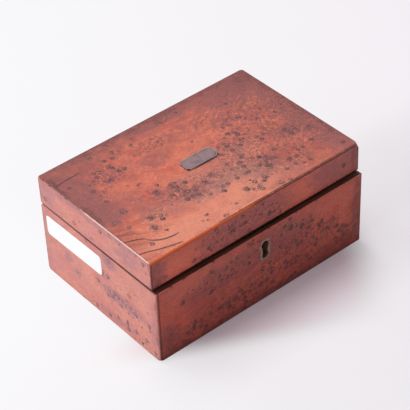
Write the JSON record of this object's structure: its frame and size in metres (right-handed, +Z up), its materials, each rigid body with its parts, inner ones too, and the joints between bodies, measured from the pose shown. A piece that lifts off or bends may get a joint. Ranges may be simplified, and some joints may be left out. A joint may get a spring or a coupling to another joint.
{
  "type": "ditty box",
  "caption": "Small hinged wooden box in burr veneer with a box lock, keyhole ring, butt hinges and a blank name plate in the lid.",
  "frame": {"origin": "centre of the base's underside, on the surface the box stands on", "axes": "+X to the right along the front with the keyhole, +Y from the front to the hinged back, +Z up"},
  "size_m": [0.2002, 0.1373, 0.0927],
  "materials": {
    "carcase_wood": "plain mahogany",
    "burr_veneer": "worn polish over burr",
    "dark_facing": "satin",
    "lining_paper": "matt, aged",
    "label_paper": "matt",
    "tarnished_metal": "dull, tarnished",
    "steel": "dull",
    "old_brass": "aged"
  },
  "bodies": {
    "base": {"base_front_board": "carcase_wood", "base_back_board": "carcase_wood", "base_left_board": "carcase_wood", "base_right_board": "carcase_wood", "base_bottom_board": "carcase_wood", "bottom_brads": "steel", "base_front_veneer": "burr_veneer", "base_back_veneer": "burr_veneer", "base_left_veneer": "burr_veneer", "base_right_veneer": "burr_veneer", "base_front_rim": "dark_facing", "base_back_rim": "dark_facing", "base_left_rim": "dark_facing", "base_right_rim": "dark_facing", "base_wall_lining": "lining_paper", "base_floor_lining": "lining_paper", "escutcheon": "tarnished_metal", "paper_label": "label_paper", "lock_back_plate": "old_brass", "lock_cap": "old_brass", "lock_key_pin": "steel", "lock_spring": "steel", "lock_screws": "old_brass", "left_hinge_base_leaf": "old_brass", "right_hinge_base_leaf": "old_brass", "left_hinge_pin": "steel", "right_hinge_pin": "steel", "base_hinge_screws": "old_brass"},
    "bolt": {"lock_bolt": "old_brass"},
    "lid": {"lid_front_board": "carcase_wood", "lid_back_board": "carcase_wood", "lid_left_board": "carcase_wood", "lid_right_board": "carcase_wood", "lid_top_board": "carcase_wood", "lid_top_veneer": "burr_veneer", "lid_front_veneer": "burr_veneer", "lid_back_veneer": "burr_veneer", "lid_left_veneer": "burr_veneer", "lid_right_veneer": "burr_veneer", "lid_front_rim": "dark_facing", "lid_back_rim": "dark_facing", "lid_left_rim": "dark_facing", "lid_right_rim": "dark_facing", "lid_wall_lining": "lining_paper", "lid_top_lining": "lining_paper", "name_plate": "tarnished_metal", "link_plate": "old_brass", "link_plate_screws": "old_brass", "left_hinge_lid_leaf": "old_brass", "right_hinge_lid_leaf": "old_brass", "lid_hinge_screws": "old_brass"}
  },
  "joints": [
    {"name": "lid_hinge", "type": "hinge", "parent": "base", "child": "lid", "pos_m": [0, 0.0665, 0.0665], "axis": [-1, 0, 0], "range_deg": [0, 100]},
    {"name": "bolt_slide", "type": "slide", "parent": "base", "child": "bolt", "axis": [-1, 0, 0], "range_m": [0, 0.004]}
  ]
}
